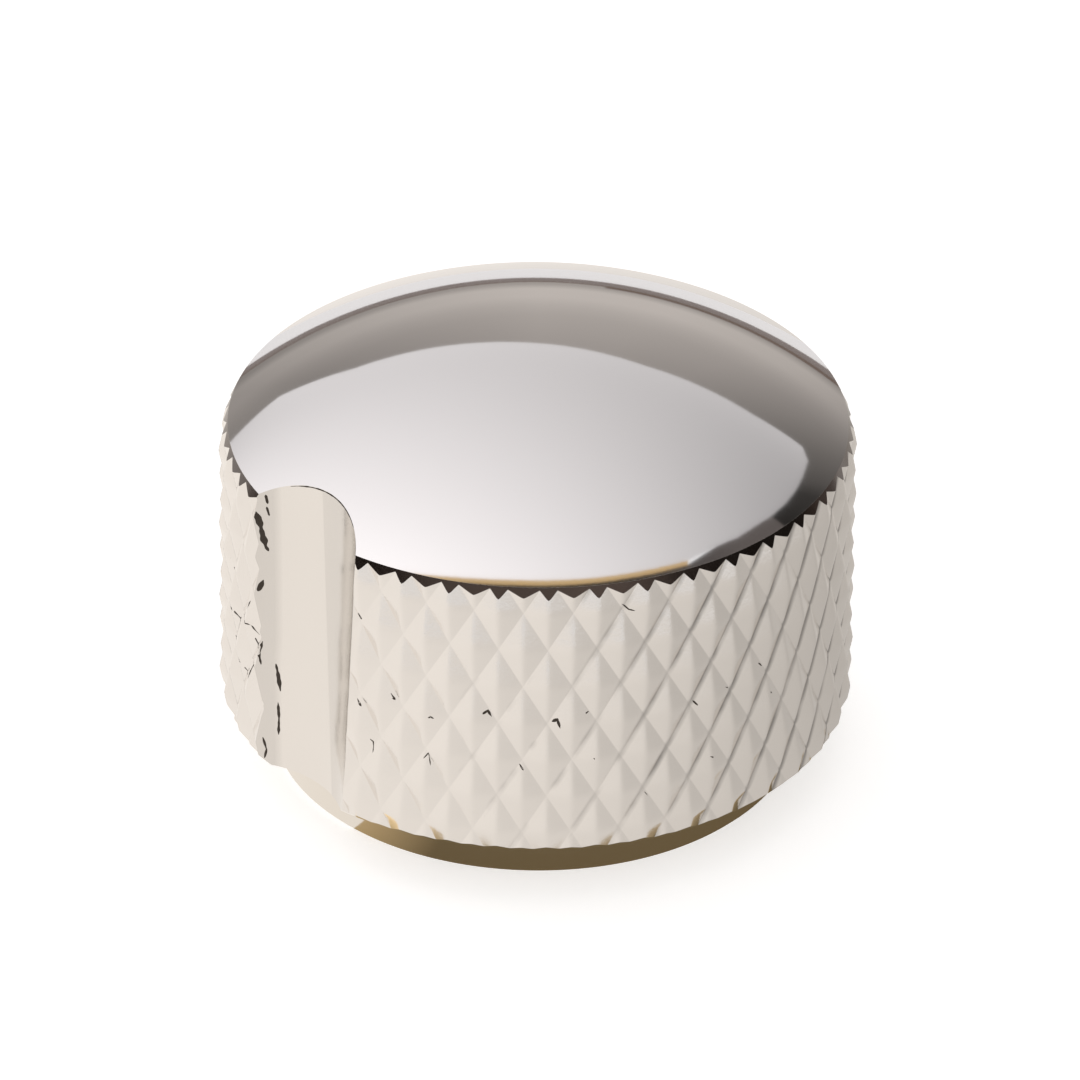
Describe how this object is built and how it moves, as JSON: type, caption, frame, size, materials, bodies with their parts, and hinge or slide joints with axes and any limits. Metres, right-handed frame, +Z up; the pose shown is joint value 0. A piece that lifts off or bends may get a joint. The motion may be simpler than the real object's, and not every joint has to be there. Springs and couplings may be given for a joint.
{
  "type": "potentiometer knob",
  "caption": "Short dome-top metal control knob with a diamond knurl, a full-height indicator channel and a blind shaft bore with a set screw.",
  "frame": {"origin": "centre of the base, on the surface the knob stands on", "axes": "+Z up along the shaft axis towards the dome; the indicator channel lies to the -X -Y side"},
  "size_m": [0.019, 0.019, 0.0136],
  "materials": {
    "nickel": "bright nickel plate",
    "screw_steel": "blackened steel"
  },
  "bodies": {
    "root": {"knob_body": "nickel", "set_screw": "screw_steel"}
  },
  "joints": []
}
